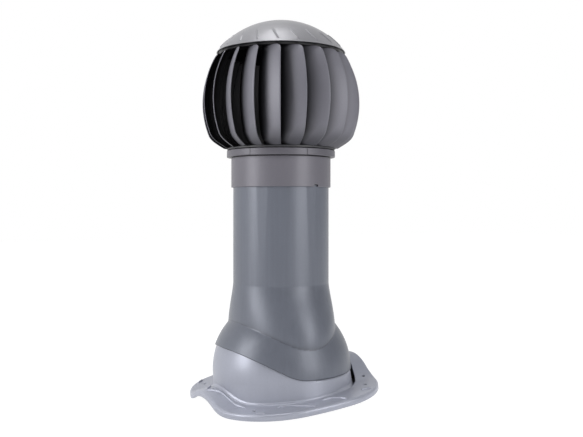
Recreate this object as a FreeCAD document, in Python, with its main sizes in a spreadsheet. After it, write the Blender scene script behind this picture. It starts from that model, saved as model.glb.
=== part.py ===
"""Rotating chimney cowl: a turbine head on a roof outlet pipe with a ball-shaped foot.

Frame: millimetres, +Z up along the pipe, origin on the pipe's axis at the mouth of the
duct spigot. +X points up the roof, so the base plate rises along +X.
"""
import FreeCAD, Part
import math
import os
import re

import Sketcher

from FreeCAD import Placement, Rotation, Vector

doc = FreeCAD.newDocument("ChimneyCowl")
sheet = doc.addObject("Spreadsheet::Sheet", "Sizes")

# Driving dimensions, in millimetres, degrees and counts
SIZES = {
    # outlet pipe and its ball-shaped hood
    "pipeRadius": 80.0,
    "pipeWall": 3.0,
    "pipeTop": 388.0,
    "ballHeight": 42.0,
    "hoodReach": 37.0,
    "hoodWall": 2.5,
    "hemSlope": 28.0,
    "flatCount": 6,
    "flatDepth": 0.35,
    "flatLength": 138.0,
    "flatTurn": 40.5,
    # base plate with its dome
    "roofPitch": 5.3,
    "domeGap": 0.3,
    "domeWall": 2.8,
    "plateReach": 27.0,
    "plateSideReach": 38.0,
    "plateEndBulge": 13.0,
    "plateSideBulge": 26.5,
    "plateCorner": 115.0,
    "plateWall": 3.0,
    "lipDepth": 10.0,
    "lipWall": 3.5,
    "waveHeight": 29.5,
    "waveGrowth": 0.045,
    "crestDrop": 6.0,
    "trenchWidth": 5.0,
    "trenchStart": 55.0,
    "trenchSlope": 6.0,
    "screwInset": 55.0,
    "endScrewInset": 22.0,
    "endScrewSpread": 62.0,
    "screwHole": 2.6,
    # neck collar and the bracket in it
    "collarGap": 0.2,
    "collarWall": 3.0,
    "collarLap": 45.0,
    "flangeReach": 10.6,
    "flangeHeight": 11.0,
    "neckRise": 5.0,
    "neckStep": 4.0,
    "ledgeWidth": 3.0,
    "ledgeHeight": 3.0,
    "notchWidth": 5.0,
    "notchHeight": 2.5,
    "notchTurn": 285.5,
    "seamCount": 6,
    "seamWidth": 1.6,
    "seamDepth": 0.6,
    "seamTurn": 30.0,
    "bracketHeight": 9.0,
    "armCount": 4,
    "armWidth": 7.0,
    "hubWall": 2.8,
    "hubHeight": 28.0,
    # axle and its fastenings
    "axleRadius": 5.0,
    "axleGap": 2.0,
    "fitGap": 0.05,
    "washerHeight": 1.6,
    "nutAcross": 16.0,
    "nutHeight": 8.0,
    # ball bearings
    "bearingRadius": 13.0,
    "bearingHeight": 8.0,
    "bearingSpread": 78.0,
    "bearingDrop": 24.0,
    "raceWall": 2.2,
    "grooveDepth": 0.125,
    "ballCount": 8,
    # bearing housing under the cap
    "housingWall": 5.0,
    "housingLip": 3.0,
    "housingFlangeReach": 20.0,
    "housingFlangeHeight": 5.0,
    "housingScrewCount": 4,
    "screwHead": 4.2,
    "screwHeadHeight": 2.6,
    "screwShank": 2.0,
    "screwLength": 12.0,
    # cap of the rotor
    "capWall": 2.5,
    "capRise": 54.0,
    "capLift": 4.0,
    "bossDepth": 22.0,
    "seatWidth": 19.0,
    "seatInset": 5.0,
    "ribCount": 20,
    "ribWidth": 2.4,
    "ribHeight": 0.8,
    "ribTurn": 6.2,
    "capScrewCount": 4,
    "capScrewSink": 0.6,
    "capScrewHead": 2.8,
    "capScrewHeadHeight": 1.8,
    "capScrewShank": 1.5,
    "capScrewLength": 10.0,
    # blades and the ring that they stand on
    "bladeCount": 20,
    "bladeTurn": 7.7,
    "bladeWall": 1.8,
    "bladeHeight": 155.0,
    "bellyReach": 51.7,
    "footReach": 15.5,
    "bladeMidShare": 0.912,
    "bladeMidTurn": 8.8,
    "bladeInnerShare": 0.816,
    "bladeInnerTurn": 18.2,
    "bladeTopRound": 8.0,
    "ringGap": 1.0,
    "ringHeight": 3.0,
}

# Sizes that follow from the driving ones
DERIVED = {
    "hoodRadius": "pipeRadius + hoodReach",
    "flareTop": "ballHeight + hoodRadius * 1.214",
    "flareFoot": "ballHeight + hoodRadius * 0.325",
    "flareHalfX": "hoodRadius * 0.7265",
    "flareHalfY": "hoodRadius * 0.923",
    "hemStart": "0 - hoodRadius * 0.068",
    "hemRun": "hoodRadius * 0.444",
    "hemLowArc": "hoodRadius * 0.675",
    "hemHighArc": "hoodRadius * 0.547",
    "domeRise": "hoodRadius * 0.564",
    "domeFoot": "hoodRadius + 0.5",
    "plateHalfLength": "hoodRadius + plateReach",
    "plateHalfWidth": "hoodRadius + plateSideReach",
    "waveHalf": "plateHalfWidth * 0.5135",
    "screwSquare": "2 * (plateHalfWidth - screwInset)",
    "collarFoot": "pipeTop - collarLap",
    "neckBore": "pipeRadius - neckStep",
    "flangeRadius": "pipeRadius + flangeReach",
    "flangeFoot": "pipeTop + neckRise",
    "flangeTop": "flangeFoot + flangeHeight",
    "bracketFoot": "pipeTop + ledgeHeight",
    "washerRadius": "nutAcross * 0.6875",
    "hubPocket": "washerRadius + 1.2",
    "hubRadius": "hubPocket + hubWall",
    "hubSeat": "bracketFoot + nutHeight + washerHeight + 2 * collarGap",
    "hubTop": "bracketFoot + hubHeight",
    "ringFoot": "flangeTop + ringGap",
    "bladeFoot": "ringFoot + ringHeight",
    "bladeTop": "bladeFoot + bladeHeight",
    "bladeShoulder": "bladeFoot + bladeHeight * 0.09",
    "bellyHeight": "bladeFoot + bladeHeight * 0.49",
    "bellyRise": "bladeHeight * 0.903",
    "bellyRadius": "pipeRadius + bellyReach",
    "footRadius": "pipeRadius + footReach",
    "ringInner": "footRadius * 0.754",
    "ringOuter": "footRadius + 1.5",
    "bladeTopCut": "bladeTopRound * 0.55",
    "capRim": "bladeTop + capLift",
    "capRimRadius": "bellyRadius * 0.82",
    "capApex": "capRim + capRise",
    "capRadius": "(capRimRadius * capRimRadius + capRise * capRise) / (2 * capRise)",
    "capCentre": "capApex - capRadius",
    "seatOuter": "capRimRadius - seatInset",
    "seatInner": "seatOuter - seatWidth",
    "ribInner": "capRimRadius * 0.787",
    "ribOuter": "capRimRadius * 0.963",
    "capScrewTurn": "ribTurn + 180 / ribCount",
    "capScrewCircle": "(seatInner + seatOuter) / 2 - 0.5",
    "housingRadius": "bearingRadius + housingWall",
    "housingFlange": "bearingRadius + housingFlangeReach",
    "housingScrewCircle": "(housingRadius + housingFlange) / 2",
    "bossRadius": "housingFlange + 3",
    "bossFoot": "capApex - bossDepth",
    "axleTop": "bossFoot - axleGap",
    "upperBearing": "bossFoot - bearingDrop",
    "lowerBearing": "upperBearing - bearingSpread",
    "lowerTop": "lowerBearing + bearingHeight",
    "rodRadius": "axleRadius + fitGap",
    "innerFace": "rodRadius + raceWall",
    "outerFace": "bearingRadius - raceWall",
    "ballTrack": "(innerFace + outerFace) / 2",
    "ballRadius": "(outerFace - innerFace) / 2 + grooveDepth",
}
for row, (alias, value) in enumerate([*SIZES.items(), *DERIVED.items()], start=1):
    sheet.set(f"A{row}", alias)
    sheet.set(f"B{row}", str(value) if alias in SIZES else f"={value}")
    sheet.setAlias(f"B{row}", alias)
doc.recompute()
NAMES = {*SIZES, *DERIVED}
FAR = 400.0  # reach of a cutting block, past every outline
worked_out = {}


def size(formula):
    """Number that a formula of sheet aliases gives, worked out in a cell of the sheet."""
    if formula not in worked_out:
        cell = f"D{len(worked_out) + 1}"
        sheet.set(cell, f"={formula}")
        sheet.recompute()
        value = sheet.get(cell)
        worked_out[formula] = float(getattr(value, "Value", value))
    return worked_out[formula]


def linked(formula):
    """The formula as other objects write it, with each alias read from the sheet."""
    return re.sub(r"[A-Za-z]\w*", lambda word: f"Sizes.{word[0]}" if word[0] in NAMES else word[0], formula)


def bind(thing, **formulas):
    """Tie an object's properties to the sheet."""
    for name, formula in formulas.items():
        thing.setExpression(name.replace("__", "."), linked(formula))
    return thing


def solid(kind, name, **formulas):
    """A Part primitive with its sizes and place bound to the sheet."""
    return bind(doc.addObject(f"Part::{kind}", name), **formulas)


def cut(name, base, tool):
    made = doc.addObject("Part::Cut", name)
    made.Base = base
    made.Tool = tool
    return made


def fuse(name, *pieces):
    made = doc.addObject("Part::MultiFuse", name)
    made.Shapes = list(pieces)
    return made


def common(name, *pieces):
    made = doc.addObject("Part::MultiCommon", name)
    made.Shapes = list(pieces)
    return made


def feature(name, shape):
    made = doc.addObject("Part::Feature", name)
    made.Shape = shape
    return made


def turned(name, corners):
    """A body turned about Z from a closed profile of (radius, height) formulas."""
    body = doc.addObject("PartDesign::Body", name)
    sketch = body.newObject("Sketcher::SketchObject", f"{name}Profile")
    plane = next(item for item in body.Origin.OriginFeatures if item.Role == "XZ_Plane")
    sketch.AttachmentSupport = [(plane, "")]
    sketch.MapMode = "FlatFace"
    points = [Vector(size(radius), size(height), 0) for radius, height in corners]
    for start, end in zip(points, points[1:] + points[:1]):
        sketch.addGeometry(Part.LineSegment(start, end))
    count = len(points)
    for index in range(count):
        sketch.addConstraint(Sketcher.Constraint("Coincident", index, 2, (index + 1) % count, 1))
    for index, (radius, height) in enumerate(corners):
        point = points[index]
        for kind, formula, value in (("DistanceX", radius, point.x), ("DistanceY", height, point.y)):
            number = sketch.addConstraint(Sketcher.Constraint(kind, -1, 1, index, 1, value))
            sketch.setExpression(f"Constraints[{number}]", linked(formula))
    revolution = body.newObject("PartDesign::Revolution", f"{name}Turn")
    revolution.Profile = sketch
    revolution.ReferenceAxis = (sketch, ["V_Axis"])
    revolution.Angle = 360
    sketch.Visibility = False
    return body


def turn_about_z(shape, degrees):
    """Copy of a shape turned about the pipe's axis."""
    made = shape.copy()
    made.rotate(Vector(0, 0, 0), Vector(0, 0, 1), degrees)
    return made


def ring_of(shape, count, start=0.0):
    """Copies of a shape spread evenly about the pipe's axis."""
    return [turn_about_z(shape, start + 360.0 * index / count) for index in range(count)]


def ellipse_wire(half_x, half_y, height):
    """Closed ellipse level with the ground, its seam on the +X side."""
    if abs(half_x - half_y) < 1e-6:
        curve = Part.Circle(Vector(0, 0, height), Vector(0, 0, 1), half_x)
    else:
        curve = Part.Ellipse(Vector(0, half_y, height), Vector(half_x, 0, height), Vector(0, 0, height))
    return Part.Wire([curve.toShape()])


def sphere_at(radius, height):
    return Part.makeSphere(radius, Vector(0, 0, height))


def tube(inner, outer, foot, top):
    axis = Vector(0, 0, 1)
    outside = Part.makeCylinder(outer, top - foot, Vector(0, 0, foot), axis)
    return outside.cut(Part.makeCylinder(inner, top - foot, Vector(0, 0, foot), axis))


# Outlet pipe: the tube, its flare and its ball-shaped hood are one moulding
def flare_solid(inset):
    """Loft from the round tube to the long oval that meets the hood, made smaller by inset."""
    radius = size("pipeRadius")
    top = size("flareTop")
    fall = top - size("flareFoot")
    grow_x = size("flareHalfX") - radius
    grow_y = size("flareHalfY") - radius
    # share of the fall, and how much of each half-axis's growth is reached there
    stages = ((0.0, 0.0, 0.0), (0.15, 0.30, 0.12), (0.36, 0.70, 0.36), (0.66, 0.96, 0.72), (1.0, 1.0, 1.0))
    wires = [
        ellipse_wire(radius + grow_x * share_x - inset, radius + grow_y * share_y - inset, top - fall * drop)
        for drop, share_x, share_y in stages
    ]
    return Part.makeLoft(wires, True, False)


def hem_block():
    """Everything under the hood's hem: low up the roof, then rising to the down-roof side."""
    slope = math.radians(size("hemSlope"))
    low, high = size("hemLowArc"), size("hemHighArc")
    x, z = size("hemStart"), size("ballHeight")
    half = slope / 2

    def after(point, radius, turn, rise):
        return Vector(point.x - radius * math.sin(turn), 0, point.z + rise * radius * (1 - math.cos(turn)))

    start = Vector(x, 0, z)
    bend_mid = after(start, low, half, 1)
    bend_end = after(start, low, slope, 1)
    run_end = bend_end + Vector(-size("hemRun"), 0, size("hemRun") * math.tan(slope))
    # the upper arc turns back to level
    crown = Vector(run_end.x - high * math.sin(slope), 0, run_end.z + high * (1 - math.cos(slope)))
    crown_mid = Vector(crown.x + high * math.sin(half), 0, crown.z - high * (1 - math.cos(half)))
    right, left = Vector(FAR, 0, z), Vector(-FAR, 0, crown.z)
    edges = [
        Part.LineSegment(right, start).toShape(),
        Part.Arc(start, bend_mid, bend_end).toShape(),
        Part.LineSegment(bend_end, run_end).toShape(),
        Part.Arc(run_end, crown_mid, crown).toShape(),
        Part.LineSegment(crown, left).toShape(),
        Part.LineSegment(left, Vector(-FAR, 0, -FAR)).toShape(),
        Part.LineSegment(Vector(-FAR, 0, -FAR), Vector(FAR, 0, -FAR)).toShape(),
        Part.LineSegment(Vector(FAR, 0, -FAR), right).toShape(),
    ]
    block = Part.Face(Part.Wire(edges)).extrude(Vector(0, 2 * FAR, 0))
    block.translate(Vector(0, -FAR, 0))
    return block


def moulded_flats():
    """Slanted blocks that shave narrow tapering flats off the tube below the collar."""
    radius, depth = size("pipeRadius"), size("flatDepth")
    foot, top = size("collarFoot - flatLength"), size("collarFoot")
    lean = math.degrees(math.atan2(depth, top - foot))
    block = Part.makeBox(radius, radius, 2 * (top - foot), Vector(0, -radius / 2, 0))
    block.rotate(Vector(0, 0, 0), Vector(0, 1, 0), -lean)
    block.translate(Vector(radius, 0, foot))
    return ring_of(block, int(size("flatCount")), size("flatTurn"))


def outlet_pipe():
    radius, bore = size("pipeRadius"), size("pipeRadius - pipeWall")
    top, ball = size("pipeTop"), size("ballHeight")
    hood, wall = size("hoodRadius"), size("hoodWall")
    tube_outside = Part.makeCylinder(radius, top)
    tube_bore = Part.makeCylinder(bore, top)
    shell = sphere_at(hood, ball).cut(hem_block())
    shell = shell.common(Part.makeCylinder(hood, size("flareTop")))
    hollow = sphere_at(hood - wall, ball).fuse(flare_solid(wall)).cut(tube_outside)
    flare = flare_solid(0.0).cut(hem_block())
    body = shell.fuse([flare]).cut(hollow)
    upper = tube_outside.cut(moulded_flats())
    return body.fuse([upper]).cut(tube_bore).removeSplitter()


# Base plate: a waved sheet with a turned-down lip and the dome that carries the hood
def under_wave(drop):
    """Everything under the waved top face, or under a face drop below it, with the crest along X.

    The crest climbs up the roof, while the troughs beside it stay level with the plate.
    """
    half, trough = size("waveHalf"), -size("waveHeight")
    # the block stands out past the plate's outline on all sides
    side, reach = size("plateHalfWidth + lipDepth") + drop, size("plateHalfLength + lipDepth") + drop

    def section(x):
        """Trough, hollow, crest, hollow, trough: three tangent arcs between two flats."""
        fall = size("waveHeight - crestDrop") + size("waveGrowth") * x
        radius = (half ** 2 + fall ** 2) / (4 * fall)
        turn = 2 * math.atan2(fall, half)
        crest, hollow = radius - drop, radius + drop

        def both(y, z):
            return Vector(x, y, z), Vector(x, -y, z)

        bend, far_bend = both(crest * math.sin(turn), trough + fall - radius + crest * math.cos(turn))
        mid, far_mid = both(half - hollow * math.sin(turn / 2), trough + radius - hollow * math.cos(turn / 2))
        flat, far_flat = both(half, trough - drop)
        rim, far_rim = both(side, trough - drop)
        low, far_low = both(side, -FAR - drop)
        return Part.Wire([
            Part.LineSegment(rim, flat).toShape(),
            Part.Arc(flat, mid, bend).toShape(),
            Part.Arc(bend, Vector(x, 0, trough + fall - drop), far_bend).toShape(),
            Part.Arc(far_bend, far_mid, far_flat).toShape(),
            Part.LineSegment(far_flat, far_rim).toShape(),
            Part.LineSegment(far_rim, far_low).toShape(),
            Part.LineSegment(far_low, low).toShape(),
            Part.LineSegment(low, rim).toShape(),
        ])

    return Part.makeLoft([section(-reach), section(reach)], True, True)


def plate_prism(inset):
    """Upright prism of the plate's outline, four bulged sides with round corners, drawn in by inset."""
    half_x, half_y = size("plateHalfLength"), size("plateHalfWidth")
    end_bulge, side_bulge = size("plateEndBulge"), size("plateSideBulge")
    end_radius = (half_y ** 2 + end_bulge ** 2) / (2 * end_bulge)
    side_radius = (half_x ** 2 + side_bulge ** 2) / (2 * side_bulge)

    def drum(radius, x, y):
        return Part.makeCylinder(radius - inset, 2 * FAR, Vector(x, y, -FAR))

    block = drum(end_radius, half_x - end_radius, 0).common(drum(end_radius, end_radius - half_x, 0))
    block = block.common(drum(side_radius, 0, half_y - side_radius))
    block = block.common(drum(side_radius, 0, side_radius - half_y))
    corners = [
        edge for edge in block.Edges
        if abs(edge.tangentAt(edge.FirstParameter).z) > 0.9 and abs(edge.Vertexes[0].Y) > half_y / 2
    ]
    return block.makeFillet(size("plateCorner") - inset, corners)


def dome_outside():
    """Ball above its middle, flared skirt below, with a step in the skirt for the hood's hem."""
    radius, hood = size("hoodRadius - hoodWall - domeGap"), size("hoodRadius + 2 * domeGap")
    fall = size("waveHeight + lipDepth")
    ball = sphere_at(radius, 0.0).common(Part.makeCylinder(radius, size("domeRise")))
    skirt = Part.makeCone(size("domeFoot"), radius, fall, Vector(0, 0, -fall))
    # the hood keeps level while the base is pitched, so its hem dips below the ball's middle up the roof
    hem = hem_block()
    hem.translate(Vector(0, 0, -size("ballHeight + 2 * domeGap")))
    hem.rotate(Vector(0, 0, 0), Vector(0, 1, 0), size("roofPitch"))
    hood_room = sphere_at(hood, 0.0).cut(sphere_at(radius, 0.0)).cut(hem)
    return ball.fuse(skirt.cut(hood_room))


def dome_inside():
    """Hollow of the dome: ball above its middle and a straight wall below."""
    radius = size("hoodRadius - hoodWall - domeGap - domeWall")
    fall = size("waveHeight + lipDepth")
    ball = sphere_at(radius, 0.0).common(Part.makeCylinder(radius, size("domeRise")))
    return ball.fuse(Part.makeCylinder(radius, 2 * fall, Vector(0, 0, -2 * fall)))


def trench_slab(drop):
    """Everything under the trench's floor, or drop below it: the floor falls away up the roof."""
    block = Part.makeBox(FAR, 2 * FAR, FAR, Vector(0, -FAR, -FAR - drop))
    block.rotate(Vector(0, 0, 0), Vector(0, 1, 0), size("trenchSlope"))
    block.translate(Vector(size("trenchStart"), 0, -size("waveHeight")))
    return block


def roof_flange():
    """Built level about the ball's middle, then pitched with the roof."""
    wall, lip_depth = size("plateWall"), size("lipDepth")
    trench = size("hoodRadius + trenchWidth")
    uphill = Part.makeBox(FAR, 2 * FAR, 2 * FAR, Vector(size("trenchStart"), -FAR, -FAR))
    outline = plate_prism(0.0)
    whole, under_sheet = under_wave(0.0), under_wave(wall)
    sheet_plate = whole.cut(under_sheet).common(outline)
    lip = whole.cut(under_wave(lip_depth)).common(outline.cut(plate_prism(size("lipWall"))))
    # the crest is cut back round the dome on its up-roof side, down to a floor
    under_floor = trench_slab(wall)
    trench_hole = Part.makeCylinder(trench, 2 * FAR, Vector(0, 0, -FAR)).common(uphill)
    trench_floor = Part.makeCylinder(trench + wall, 2 * FAR, Vector(0, 0, -FAR)).common(uphill)
    trench_floor = trench_floor.common(trench_slab(0.0)).cut(under_floor)
    trench_wall = tube(trench, trench + wall, -FAR, FAR).common(whole).common(uphill).cut(under_floor)
    plate = sheet_plate.cut(trench_hole).fuse([lip, trench_floor.common(outline), trench_wall.common(outline)])
    dome = dome_outside().cut(under_sheet.cut(uphill)).cut(under_floor.common(uphill))
    body = plate.fuse([dome]).cut(dome_inside())
    half = size("screwSquare") / 2
    hole = size("screwHole")
    places = [(half, half), (half, -half), (-half, half), (-half, -half)]
    end, spread = size("plateHalfLength - endScrewInset"), size("endScrewSpread")
    places += [(-end, 0.0), (end, spread), (end, -spread)]
    holes = [Part.makeCylinder(hole, 2 * FAR, Vector(x, y, -FAR)) for x, y in places]
    return body.cut(holes).removeSplitter()


# Rotor blade: a curled vane that hangs from the cap and stands on the lower ring
def blade_section(radius, height):
    """Curled strip in plan, from the outer edge on +X round and in towards the axle."""

    def polar(share, degrees):
        angle = math.radians(degrees)
        return Vector(radius * share * math.cos(angle), radius * share * math.sin(angle), height)

    outer = polar(1.0, 0.0)
    middle = polar(size("bladeMidShare"), -size("bladeMidTurn"))
    inner = polar(size("bladeInnerShare"), -size("bladeInnerTurn"))
    back = Part.Arc(outer, middle, inner).toShape()
    centre = back.Curve.Center
    thin = 1 - size("bladeWall") / back.Curve.Radius

    def behind(point):
        return centre + (point - centre) * thin

    front = Part.Arc(behind(inner), behind(middle), behind(outer))
    edges = [
        back,
        Part.LineSegment(inner, behind(inner)).toShape(),
        front.toShape(),
        Part.LineSegment(behind(outer), outer).toShape(),
    ]
    return Part.Wire(edges)


def blade():
    shoulder, top = size("bladeShoulder"), size("bladeTop")
    steps = 5

    def belly(height):
        rise = (height - size("bellyHeight")) / size("bellyRise")
        return size("bellyRadius") * math.sqrt(1 - rise ** 2)

    heights = [shoulder + (top - shoulder) * step / steps for step in range(steps + 1)]
    upper = Part.makeLoft([blade_section(belly(height), height) for height in heights], True, False)
    foot_section = blade_section(size("footRadius"), size("bladeFoot"))
    foot = Part.makeLoft([foot_section, blade_section(belly(shoulder), shoulder)], True, True)
    vane = upper.fuse(foot).removeSplitter()
    # the outer corner at the top is rounded off by a ring turned about the axle
    low = top - size("bladeTopRound")
    corner = Vector(belly(top), 0, top)
    start, end = Vector(belly(low), 0, low), corner - Vector(size("bladeTopCut"), 0, 0)
    middle = corner + (start + end - corner * 2) * (1 - math.sqrt(0.5))
    wide = start + Vector(size("bladeTopRound"), 0, 0)
    over = Vector(0, 0, size("bladeTopRound") + size("bladeWall"))
    section = Part.Wire([
        Part.Arc(start, middle, end).toShape(),
        *Part.makePolygon([end, Vector(end.x, 0, (wide + over).z), wide + over, wide, start]).Edges,
    ])
    return vane.cut(Part.Face(section).revolve(Vector(0, 0, 0), Vector(0, 0, 1), 360))


subparts = {}


def keep(name, made):
    """Name a finished sub-part for its file."""
    made.Label = name
    subparts[name] = made


keep("roof_flange", feature("RoofFlange", roof_flange()))
subparts["roof_flange"].Placement = Placement(
    Vector(0, 0, size("ballHeight")), Rotation(Vector(0, 1, 0), -size("roofPitch"))
)
keep("outlet_pipe", feature("OutletPipe", outlet_pipe()))

# Neck collar: sleeve over the pipe's top, a ledge inside and a seamed flange
collar_body = turned("CollarBody", [
    ("pipeRadius + collarGap", "collarFoot"),
    ("pipeRadius + collarGap + collarWall", "collarFoot"),
    ("pipeRadius + collarGap + collarWall", "flangeFoot"),
    ("flangeRadius", "flangeFoot"),
    ("flangeRadius", "flangeTop"),
    ("neckBore", "flangeTop"),
    ("neckBore", "bracketFoot"),
    ("neckBore - ledgeWidth", "bracketFoot"),
    ("neckBore - ledgeWidth", "pipeTop"),
    ("pipeRadius + collarGap", "pipeTop"),
])
notch = Part.makeBox(
    FAR, size("notchWidth"), 2 * size("notchHeight"),
    Vector(0, -size("notchWidth") / 2, size("collarFoot - notchHeight")),
)
seam = Part.makeBox(
    FAR, size("seamWidth"), size("flangeHeight"),
    Vector(size("flangeRadius - seamDepth"), -size("seamWidth") / 2, size("flangeFoot")),
)
gaps = feature("CollarGaps", Part.makeCompound(
    [turn_about_z(notch, size("notchTurn"))] + ring_of(seam, int(size("seamCount")), size("seamTurn"))
))
keep("neck_collar", cut("NeckCollar", collar_body, gaps))

# Bearing bracket: a four-armed spider with a cupped hub, its arms on the collar's ledge
arms = []
for index in range(int(size("armCount") / 2)):
    arm = solid(
        "Box", f"BracketArm{index}", Length="2 * neckBore", Width="armWidth", Height="bracketHeight",
    )
    turn = Rotation(Vector(0, 0, 1), 45.0 + 360.0 * index / size("armCount"))
    corner = Vector(-size("neckBore"), -size("armWidth") / 2, 0)
    arm.Placement = Placement(turn.multVec(corner) + Vector(0, 0, size("bracketFoot")), turn)
    arms.append(arm)
hub = solid(
    "Cylinder", "BracketHub", Radius="hubRadius", Height="hubHeight", Placement__Base__z="bracketFoot",
)
arm_reach = solid(
    "Cylinder", "ArmReach", Radius="neckBore - fitGap", Height="hubHeight", Placement__Base__z="bracketFoot",
)
hub_pocket = solid(
    "Cylinder", "HubPocket", Radius="hubPocket", Height="hubSeat - bracketFoot",
    Placement__Base__z="bracketFoot",
)
hub_bore = solid(
    "Cylinder", "HubBore", Radius="rodRadius", Height="hubHeight", Placement__Base__z="bracketFoot",
)
spider = common("Spider", fuse("SpiderArms", *arms, hub), arm_reach)
keep("bearing_bracket", cut("BearingBracket", spider, fuse("HubHoles", hub_pocket, hub_bore)))

# Axle with its washers, nuts, spacer and retaining rings
keep("axle", solid(
    "Cylinder", "Axle", Radius="axleRadius", Height="axleTop - bracketFoot", Placement__Base__z="bracketFoot"
))


def sleeve(name, inner, outer, foot, height):
    """Plain ring bound to the sheet."""
    outside = solid("Cylinder", f"{name}Outside", Radius=outer, Height=height, Placement__Base__z=foot)
    inside = solid("Cylinder", f"{name}Inside", Radius=inner, Height=height, Placement__Base__z=foot)
    return cut(name, outside, inside)


def hex_nut(name, foot):
    """Hexagon nut on the axle."""
    hexagon = solid(
        "Prism", f"{name}Hexagon", Circumradius="nutAcross / sqrt(3)", Height="nutHeight",
        Placement__Base__z=foot,
    )
    hexagon.Polygon = 6
    bore = solid("Cylinder", f"{name}Bore", Radius="rodRadius", Height="nutHeight", Placement__Base__z=foot)
    return cut(name, hexagon, bore)


def group(name, *pieces):
    """Separate solids that share one file."""
    made = doc.addObject("Part::Compound", name)
    made.Links = list(pieces)
    return made


keep("axle_washers", group(
    "AxleWashers",
    sleeve("LowerWasher", "rodRadius", "washerRadius", "hubSeat - washerHeight", "washerHeight"),
    sleeve("UpperWasher", "rodRadius", "washerRadius", "hubTop", "washerHeight"),
))
keep("axle_nuts", group(
    "AxleNuts",
    hex_nut("LowerNut", "hubSeat - washerHeight - nutHeight"),
    hex_nut("UpperNut", "hubTop + washerHeight"),
))
keep("bearing_spacer", sleeve(
    "BearingSpacer", "rodRadius", "innerFace", "lowerTop", "upperBearing - lowerTop",
))
keep("retaining_rings", group(
    "RetainingRings",
    sleeve("LowerRing", "rodRadius", "innerFace", "lowerBearing - washerHeight", "washerHeight"),
    sleeve("UpperRing", "rodRadius", "innerFace", "upperBearing + bearingHeight", "washerHeight"),
))

# Two ball bearings: inner race on the axle, outer race in the housing, balls between
for place in ("lower", "upper"):
    foot = f"{place}Bearing"
    middle = f"{place}Bearing + bearingHeight / 2"
    word = place.capitalize()
    races = {
        "inner": sleeve(f"{word}InnerBlank", "rodRadius", "innerFace", foot, "bearingHeight"),
        "outer": sleeve(f"{word}OuterBlank", "outerFace", "bearingRadius", foot, "bearingHeight"),
    }
    for side, blank in races.items():
        groove = solid(
            "Torus", f"{word}{side.capitalize()}Groove", Radius1="ballTrack", Radius2="ballRadius + fitGap",
            Placement__Base__z=middle,
        )
        keep(f"{place}_bearing_{side}_race", cut(f"{word}{side.capitalize()}Race", blank, groove))
    ball = Part.makeSphere(size("ballRadius"), Vector(size("ballTrack"), 0, size(middle)))
    balls = Part.makeCompound(ring_of(ball, int(size("ballCount"))))
    keep(f"{place}_bearing_balls", feature(f"{word}Balls", balls))

# Bearing housing: long tube with a pocket at each end and a flange under the cap
screw_hole = Part.makeCylinder(
    size("screwShank + collarGap"), size("housingFlangeHeight"),
    Vector(size("housingScrewCircle"), 0, size("bossFoot - housingFlangeHeight")),
)
housing_body = turned("HousingBody", [
    ("bearingRadius", "lowerBearing"),
    ("housingRadius", "lowerBearing"),
    ("housingRadius", "bossFoot - housingFlangeHeight"),
    ("housingFlange", "bossFoot - housingFlangeHeight"),
    ("housingFlange", "bossFoot"),
    ("bearingRadius", "bossFoot"),
    ("bearingRadius", "upperBearing"),
    ("bearingRadius - housingLip", "upperBearing"),
    ("bearingRadius - housingLip", "lowerTop"),
    ("bearingRadius", "lowerTop"),
])
screw_count = int(size("housingScrewCount"))
housing_holes = feature("HousingHoles", Part.makeCompound(ring_of(screw_hole, screw_count)))
keep("bearing_housing", cut("BearingHousing", housing_body, housing_holes))


def screw(head, head_height, shank, length, seat, circle, up):
    """Pan-head screw on a circle, its head above the seat, or below it when up is -1."""
    axis = Vector(0, 0, up)
    place = Vector(circle, 0, seat)
    head_disc = Part.makeCylinder(head, head_height, place, axis)
    return head_disc.fuse(Part.makeCylinder(shank, length, place, axis * -1))


housing_screw = screw(
    size("screwHead"), size("screwHeadHeight"), size("screwShank"), size("screwLength"),
    size("bossFoot - housingFlangeHeight"), size("housingScrewCircle"), -1,
)
keep("housing_screws", feature("HousingScrews", Part.makeCompound(ring_of(housing_screw, screw_count))))

# Cap: shallow dome with radial ribs, a boss for the housing and a seat for the blades
cap_outside = solid("Sphere", "CapOutside", Radius="capRadius", Placement__Base__z="capCentre")
cap_inside = solid("Sphere", "CapInside", Radius="capRadius - capWall", Placement__Base__z="capCentre")
above_rim = solid(
    "Cylinder", "AboveRim", Radius="capRadius", Height="capRadius", Placement__Base__z="capRim",
)
cap_shell = cut("CapShell", common("CapDome", cap_outside, above_rim), cap_inside)
seat_ring = sleeve("SeatRing", "seatInner", "seatOuter", "bladeTop", "capApex - bladeTop")
boss = solid(
    "Cylinder", "CapBoss", Radius="bossRadius", Height="capApex - bossFoot", Placement__Base__z="bossFoot",
)
cap_ball = solid("Sphere", "CapBall", Radius="capRadius - capWall / 2", Placement__Base__z="capCentre")
cap_inner = common("CapInnerForms", fuse("CapSeats", seat_ring, boss), cap_ball)


def cap_ribs():
    """Radial ribs that stand a little proud of the dome."""
    inner, outer = size("ribInner"), size("ribOuter")
    width = size("ribWidth")
    rib = Part.makeBox(outer - inner, width, FAR, Vector(inner, -width / 2, size("capRim")))
    proud = sphere_at(size("capRadius + ribHeight"), size("capCentre"))
    hollow = sphere_at(size("capRadius - capWall / 2"), size("capCentre"))
    one = rib.common(proud).cut(hollow)
    return Part.makeCompound(ring_of(one, int(size("ribCount")), size("ribTurn")))


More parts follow.
